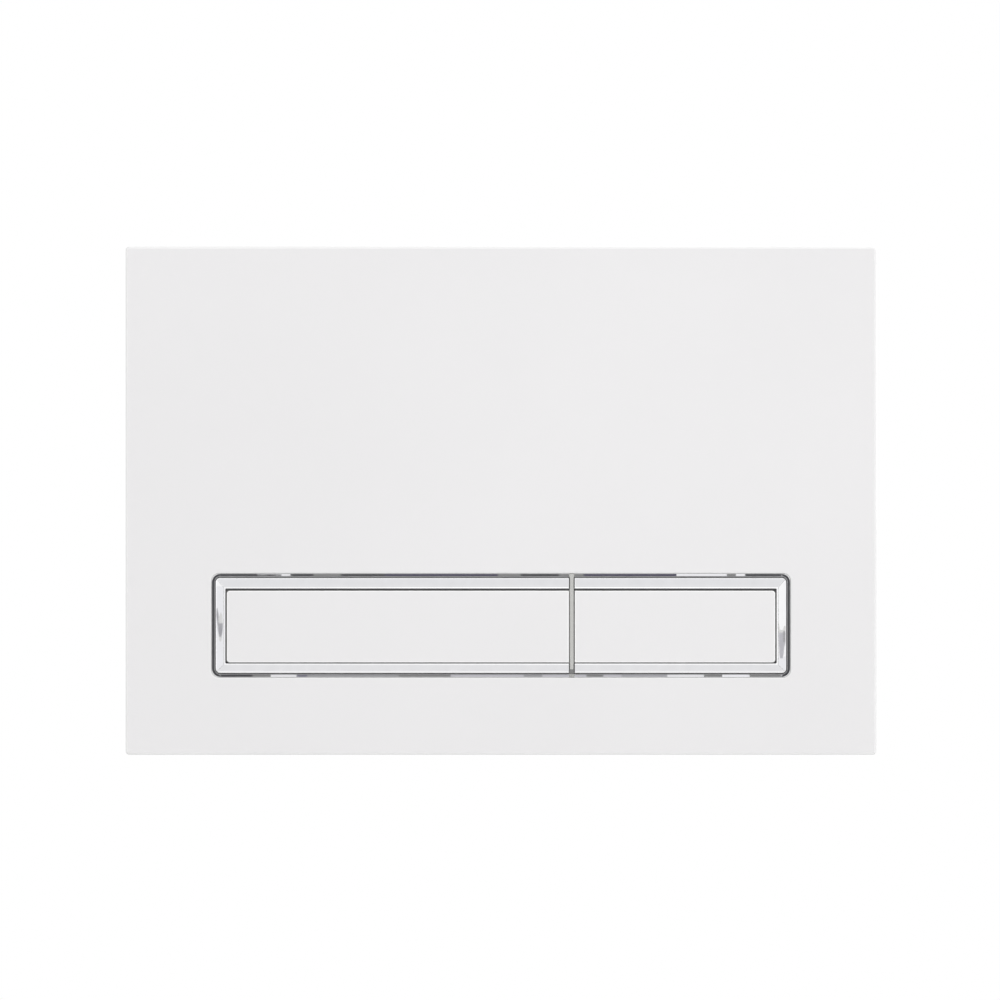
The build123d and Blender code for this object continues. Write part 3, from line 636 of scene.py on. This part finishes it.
# Painted shade: the groove floor and the side walls are dark, rough and not metal, for the shade in the
# gaps.
groove_shade = spread(tree, part_of(tree, place, "Y"), 0.0, 1.0, groove_band)
true_face = put(tree, "NewGeometry", {}).outputs["True Normal"]
side_wall = spread(tree, calc(tree, "ABSOLUTE", part_of(tree, true_face, "Y")), 1.0, 0.0, side_wall_turn)
button_tone = over(tree, groove_shade, over(tree, side_wall, bright, side_shade_colour), groove_shade_colour)
painted_shade = calc(tree, "MAXIMUM", groove_shade, side_wall)
coat(tree, shader, button_tone, calc(tree, "MULTIPLY_ADD", painted_shade, shade_roughness, gloss))
tree.links.new(spread(tree, painted_shade, 1.0, 0.0, (0.0, 1.0)), shader.inputs["Metallic"])
dress(button_chrome, "large_button_frame", "small_button_frame")

# Button inlays: white plates glued into the castings, level with the crest of the bevel.
# Same high-gloss plastic as the panel, with softened edges that carry a wider painted highlight.
inlay_white = gloss_moulding(
    "inlay_white", panel_colour, roughness=0.1, edge_radius=0.7 * MM, edge_highlight_colour=(0.99, 0.99, 0.99))
dress(inlay_white, "large_button_inlay", "small_button_inlay")

# Camera: square on to the plate's face, far enough back for the flat look of a catalogue view.
# Its place and lens put the plate's edges where the photograph has them.
view_distance = 1.6
field_width = 0.32756
view_x, view_z = -0.33 * MM, 0.25 * MM
face_y = -12 * MM
camera_data = bpy.data.cameras.new("camera")
camera_data.sensor_width = 36.0
camera_data.lens = camera_data.sensor_width * view_distance / field_width
camera = bpy.data.objects.new("camera", camera_data)
camera.location = (view_x, face_y - view_distance, view_z)
camera.rotation_euler = (math.pi / 2, 0, 0)
bpy.context.scene.collection.objects.link(camera)
bpy.context.scene.camera = camera
bpy.context.scene.view_settings.view_transform = "Standard"

# Floor: a pale painted sheet below the camera's view, which keeps the plate's shadow.
# To the camera it runs out into the white behind it.
floor_z, floor_half = -0.42, 1.6
floor_dark, floor_light, floor_roughness = (0.80, 0.80, 0.795), (0.82, 0.82, 0.815), 0.8
fade_start, fade_end = 0.35, 1.4
square = ((-1, -1), (1, -1), (1, 1), (-1, 1))


def sheet(name, corners, faces, materials):
    """Flat sheets of the studio, one material for each face."""
    mesh = bpy.data.meshes.new(name)
    mesh.from_pydata([tuple(corner) for corner in corners], [], faces)
    slots = list(dict.fromkeys(materials))
    for material in slots:
        mesh.materials.append(material)
    for face, material in zip(mesh.polygons, materials):
        face.material_index = slots.index(material)
    made = bpy.data.objects.new(name, mesh)
    bpy.context.scene.collection.objects.link(made)
    return made


def faded(tree, place, centre, source, low, high):
    """A number that runs smoothly from low to high with the distance from a centre."""
    away = put(tree, "VectorMath", {0: place, 1: centre}, operation="DISTANCE").outputs["Value"]
    limits = {"From Min": source[0], "From Max": source[1], "To Min": low, "To Max": high}
    fade = put(tree, "MapRange", {"Value": away, **limits}, interpolation_type="SMOOTHSTEP")
    return fade.outputs["Result"]


floor_paint, tree, shader, place = blank("floor_pale")
mottle = noise(tree, place, scale=6.0, detail=2.0)
tree.links.new(shades(tree, mottle, floor_dark, floor_light, (0.2, 0.8)), shader.inputs["Base Color"])
shader.inputs["Roughness"].default_value = floor_roughness
run_out = faded(tree, place, (0, 0, floor_z), (fade_start, fade_end), 0.0, 1.0)
looked_at = put(tree, "LightPath", {}).outputs["Is Camera Ray"]
white = put(tree, "Emission", {"Color": (1, 1, 1, 1), "Strength": 1.0}).outputs["Emission"]
whitened = calc(tree, "MULTIPLY", run_out, looked_at)
sweep = put(tree, "MixShader", {0: whitened, 1: shader.outputs["BSDF"], 2: white})
tree.links.new(sweep.outputs["Shader"], tree.nodes["Material Output"].inputs["Surface"])
floor_corners = [(x * floor_half, y * floor_half, floor_z) for x, y in square]
sheet("floor", floor_corners, [(0, 1, 2, 3)], [floor_paint])

# Room and lamps: a white room, and soft lamps in front and behind, at a plain level.
# The room is white to the camera and in reflections, and lights the plate at a lower level.
ambient = 0.6
world = bpy.data.worlds.new("studio")
bpy.context.scene.world = world
world.use_nodes = True
room = world.node_tree
seen = put(room, "LightPath", {}).outputs
shown = calc(room, "MAXIMUM", seen["Is Camera Ray"], seen["Is Glossy Ray"])
shown = calc(room, "MAXIMUM", shown, seen["Is Transmission Ray"])
backdrop = room.nodes["Background"]
backdrop.inputs["Color"].default_value = (1, 1, 1, 1)
room.links.new(spread(room, shown, ambient, 1.0, (0.0, 1.0)), backdrop.inputs["Strength"])


def softbox(name, place, size, power, in_gloss=True):
    """Square soft lamp that faces the plate; one that is kept out of gloss shows in no reflection."""
    lamp = bpy.data.lights.new(name, "AREA")
    lamp.shape = "SQUARE"
    lamp.size = size
    lamp.energy = power
    made = bpy.data.objects.new(name, lamp)
    made.location = place
    made.rotation_euler = (-Vector(place)).to_track_quat("-Z", "Y").to_euler()
    made.visible_camera = False
    made.visible_glossy = in_gloss
    bpy.context.scene.collection.objects.link(made)


softbox("key", (0.9, -1.4, 1.1), size=1.6, power=17.5, in_gloss=False)
softbox("fill", (-1.2, -1.2, 0.5), size=1.4, power=4)
softbox("back", (0.8, 1.5, 0.8), size=1.8, power=12)

# Rim flags: cards round the studio, which only reflections see, for the bevelled rim of the surround.
# Each one stands where the bevel turns the camera's line of sight, and gives it its tone: dark at the
# ends and corners, and in strips along the top and the foot.


def plain_glow(name, colour):
    """Card of an even tone."""
    material = bpy.data.materials.new("flag_" + name)
    material.use_nodes = True
    tree = material.node_tree
    tree.nodes.clear()
    glow = put(tree, "Emission", {"Color": (*colour, 1), "Strength": 1.0})
    end = tree.nodes.new("ShaderNodeOutputMaterial")
    tree.links.new(glow.outputs["Emission"], end.inputs["Surface"])
    return material


tones = {name: plain_glow(name, colour) for name, colour in (
    ("dark", (0.075, 0.075, 0.08)),
    ("dusk", (0.085, 0.08, 0.115)),
    ("slate", (0.2, 0.195, 0.235)),
    ("grey", (0.24, 0.24, 0.24)),
    ("mid", (0.33, 0.33, 0.34)),
    ("ash", (0.39, 0.388, 0.41)),
    ("mist", (0.515, 0.51, 0.54)),
    ("pale", (0.72, 0.72, 0.71)),
    ("soft", (0.81, 0.81, 0.82)),
    ("light", (0.88, 0.88, 0.9)),
    ("bright", (1.0, 1.0, 1.0)),
)}


def mirrored(x, z, lean, slope, distance):
    """Where the camera's line of sight ends, turned back by a bevel at a place in millimetres.

    The bevel leans by a slope, in radians, towards lean, which is an x and a z of length 1."""
    seen_at = Vector((x * MM, face_y, z * MM))
    facing = Vector((lean[0] * math.sin(slope), -math.cos(slope), lean[1] * math.sin(slope)))
    return seen_at + (seen_at - camera.location).normalized().reflect(facing) * distance


def flag(name, corners, faces, materials):
    """Card that only reflections see."""
    made = sheet(name, corners, faces, materials)
    made.visible_camera = False
    made.visible_diffuse = False
    made.visible_shadow = False
    made.visible_transmission = False
    made.visible_volume_scatter = False


def flag_along(name, stations, slope, along, distance, swing):
    """Long card that follows a bevel: stations are (x, z, lean), with a tone between each two.

    It is as wide as a swing of the bevel, in radians, to each side."""
    corners = []
    for x, z, lean in stations:
        corners += [mirrored(x, z, lean, slope + turn, distance) for turn in (-swing, swing)]
    faces = [(2 * i, 2 * i + 1, 2 * i + 3, 2 * i + 2) for i in range(len(stations) - 1)]
    flag("flag_" + name, corners, faces, [tones[tone] for tone in along])


rim_rise, rim_bevel = 0.4, 1.0
rim_slope = math.atan(rim_rise / rim_bevel)
rim_x, rim_top, rim_foot, rim_round = 94.25, -24.45, -57.25, 2.2
inner_x = rim_x - rim_round
corner_steps = 8
rim_swing, corner_swing = math.radians(0.2), math.radians(0.7)
rim_reach, side_rim_reach, corner_reach = 0.42, 0.48, 0.5
top_run = [
    (-inner_x, "dark"), (-80, "soft"), (-69, "dark"), (-61.5, "grey"), (-52.5, "dark"), (-38, "dusk"),
    (-1, "grey"), (6.5, "dark"), (19, "grey"), (27, "dusk"), (57.5, "light"), (74, "grey"), (77, "light"),
    (80, "dark"), (inner_x, None),
]
foot_run = [
    (-inner_x, "dark"), (-81.5, "grey"), (-75.5, "soft"), (-67, "slate"), (-63.5, "mid"), (-33.5, "grey"),
    (-16.5, "mist"), (7.5, "mid"), (13.5, "mist"), (28, "grey"), (33.5, "mist"), (39.5, "ash"),
    (54.5, "soft"), (66.5, "grey"), (72.5, "light"), (81.5, "grey"), (inner_x, None),
]
for name, run, z, lean in (
    ("top_rim", top_run, rim_top, (0, -1)),
    ("foot_rim", foot_run, rim_foot, (0, 1)),
):
    stations = [(x, z, lean) for x, tone in run]
    flag_along(name, stations, rim_slope, [tone for x, tone in run[:-1]], rim_reach, rim_swing)
for name, side in (("left", -1), ("right", 1)):
    upper, lower = rim_top - rim_round, rim_foot + rim_round
    ends = [(side * rim_x, z, (-side, 0)) for z in (upper, lower)]
    flag_along(name + "_rim", ends, rim_slope, ["dark"], side_rim_reach, rim_swing)
    for corner, up, height in (("_upper_corner", 1, upper), ("_lower_corner", -1, lower)):
        bend = []
        for step in range(corner_steps + 1):
            turn = math.radians(90 * step / corner_steps)
            out = Vector((side * math.cos(turn), up * math.sin(turn)))
            bend.append((side * inner_x + rim_round * out.x, height + rim_round * out.y, -out))
        flag_along(name + corner, bend, rim_slope, ["dark"] * corner_steps, corner_reach, corner_swing)

# Bar flags: pale cards for the bevels of the buttons, of the same kind as those for the rim.
# Nearer cards in front of them make the bright lines along the bars and the grey leaves at their ends.
bar_rise, bar_bevel, top_bar_bevel = 0.5, 2.75, 3.1
bar_slope = math.atan(bar_rise / bar_bevel)
top_bar_slope = math.atan(bar_rise / top_bar_bevel)
bar_x, bar_top, bar_foot, bar_run = 92.0, -26.8, -55.0, (-100, 100)
bar_reach, bar_swing = 0.5, math.radians(0.8)
top_bar = [(x, bar_top, (0, 1)) for x in bar_run]
foot_bar = [(x, bar_foot, (0, -1)) for x in bar_run]
left_bar = [(-bar_x, z, (-1, 0)) for z in (-18, -28, -65)]
right_bar = [(bar_x, z, (1, 0)) for z in (-18, -51, -65)]
flag_along("top_bar", top_bar, top_bar_slope, ["soft"], bar_reach, bar_swing)
flag_along("foot_bar", foot_bar, bar_slope, ["soft"], bar_reach, bar_swing)
flag_along("left_bar", left_bar, bar_slope, ["bright", "light"], bar_reach, bar_swing)
flag_along("right_bar", right_bar, bar_slope, ["bright", "light"], bar_reach, bar_swing)


def patch(name, tone, outline, lean, slope, distance):
    """Card whose reflection in a bevel has an outline of (x, z) points, in millimetres."""
    corners = [mirrored(x, z, lean, slope, distance) for x, z in outline]
    flag("flag_" + name, corners, [tuple(range(len(corners)))], [tones[tone]])


def ribbon(x, z):
    """Outline of a straight strip between two x and two z values."""
    return [(x[0], z[0]), (x[1], z[0]), (x[1], z[1]), (x[0], z[1])]


streak_reach, line_reach, line_x = 0.41, 0.49, (-93, 93)
patch("top_streak", "dark", ribbon((-80.5, -72), (-24.5, -25.2)), (0, -1), rim_slope, streak_reach)
patch("top_line", "light", ribbon(line_x, (-25.0, -25.75)), (0, 1), top_bar_slope, line_reach)
patch("foot_line", "bright", ribbon(line_x, (-56.7, -55.85)), (0, -1), bar_slope, line_reach)
veil_reach, leaf_reach, core_reach = 0.46, 0.45, 0.44
for name, side, tone, distance, outline in (
    ("left_sliver", -1, "ash", leaf_reach, [
        (-1.0, -35.0), (-0.5, -37.5), (-0.5, -40.3), (-0.95, -40.3), (-1.45, -37.5), (-1.45, -35.8)]),
    ("left_leaf", -1, "ash", leaf_reach, [
        (-0.95, -40.1), (1.0, -40.1), (0.95, -41.5), (0.75, -43.4), (0.4, -44.6), (-0.2, -44.6),
        (-0.5, -43.4), (-0.8, -41.5)]),
    ("left_veil", -1, "pale", veil_reach, [
        (0.3, -36.4), (0.8, -37.6), (1.0, -40.4), (0.5, -45.7), (0.1, -46.3), (-0.3, -45.7),
        (-0.6, -43.0), (-0.4, -38.0)]),
    ("right_leaf", 1, "mist", leaf_reach, [
        (1.2, -43.2), (1.15, -45.8), (1.05, -47.8), (0.95, -50.2), (0.6, -51.6), (-0.2, -51.6),
        (-0.6, -50.2), (-0.85, -47.8), (-1.2, -46.8), (-1.45, -45.0), (-1.4, -43.0), (-0.7, -42.4),
        (-0.4, -43.2)]),
    ("right_core", 1, "mid", core_reach, [
        (-0.45, -43.0), (-0.45, -45.8), (-0.7, -46.6), (-1.15, -45.6), (-1.15, -43.0), (-0.8, -42.5)]),
    ("right_veil", 1, "pale", veil_reach, [
        (1.4, -39.5), (1.0, -40.5), (0.8, -42.2), (-0.3, -42.4), (-0.8, -41.0), (-1.4, -41.0),
        (-1.4, -44.0), (1.4, -44.0)]),
):
    on_bar = [(side * (bar_x - inward), z) for inward, z in outline]
    patch(name, tone, on_bar, (side, 0), bar_slope, distance)

# Glow: a pale card behind the camera, a little brighter than the white round it and lost in it at the rim.
# Its soft reflection lightens the middle of the gloss panel.
glow_radius, glow_lift, glow_behind = 0.25, 0.32, 0.1
glow_x, glow_z = 26.0, 29.0
glow_centre = mirrored(glow_x, glow_z, (0, 0), 0.0, view_distance + glow_behind)
glow_card, tree, shader, place = blank("glow_card")
lift = faded(tree, place, glow_centre, (0.0, glow_radius), 1.0 + glow_lift, 1.0)
light = put(tree, "Emission", {"Strength": lift})
tree.links.new(light.outputs["Emission"], tree.nodes["Material Output"].inputs["Surface"])
corners = [glow_centre + glow_radius * Vector((x, 0, z)) for x, z in square]
flag("glow", corners, [(0, 1, 2, 3)], [glow_card])
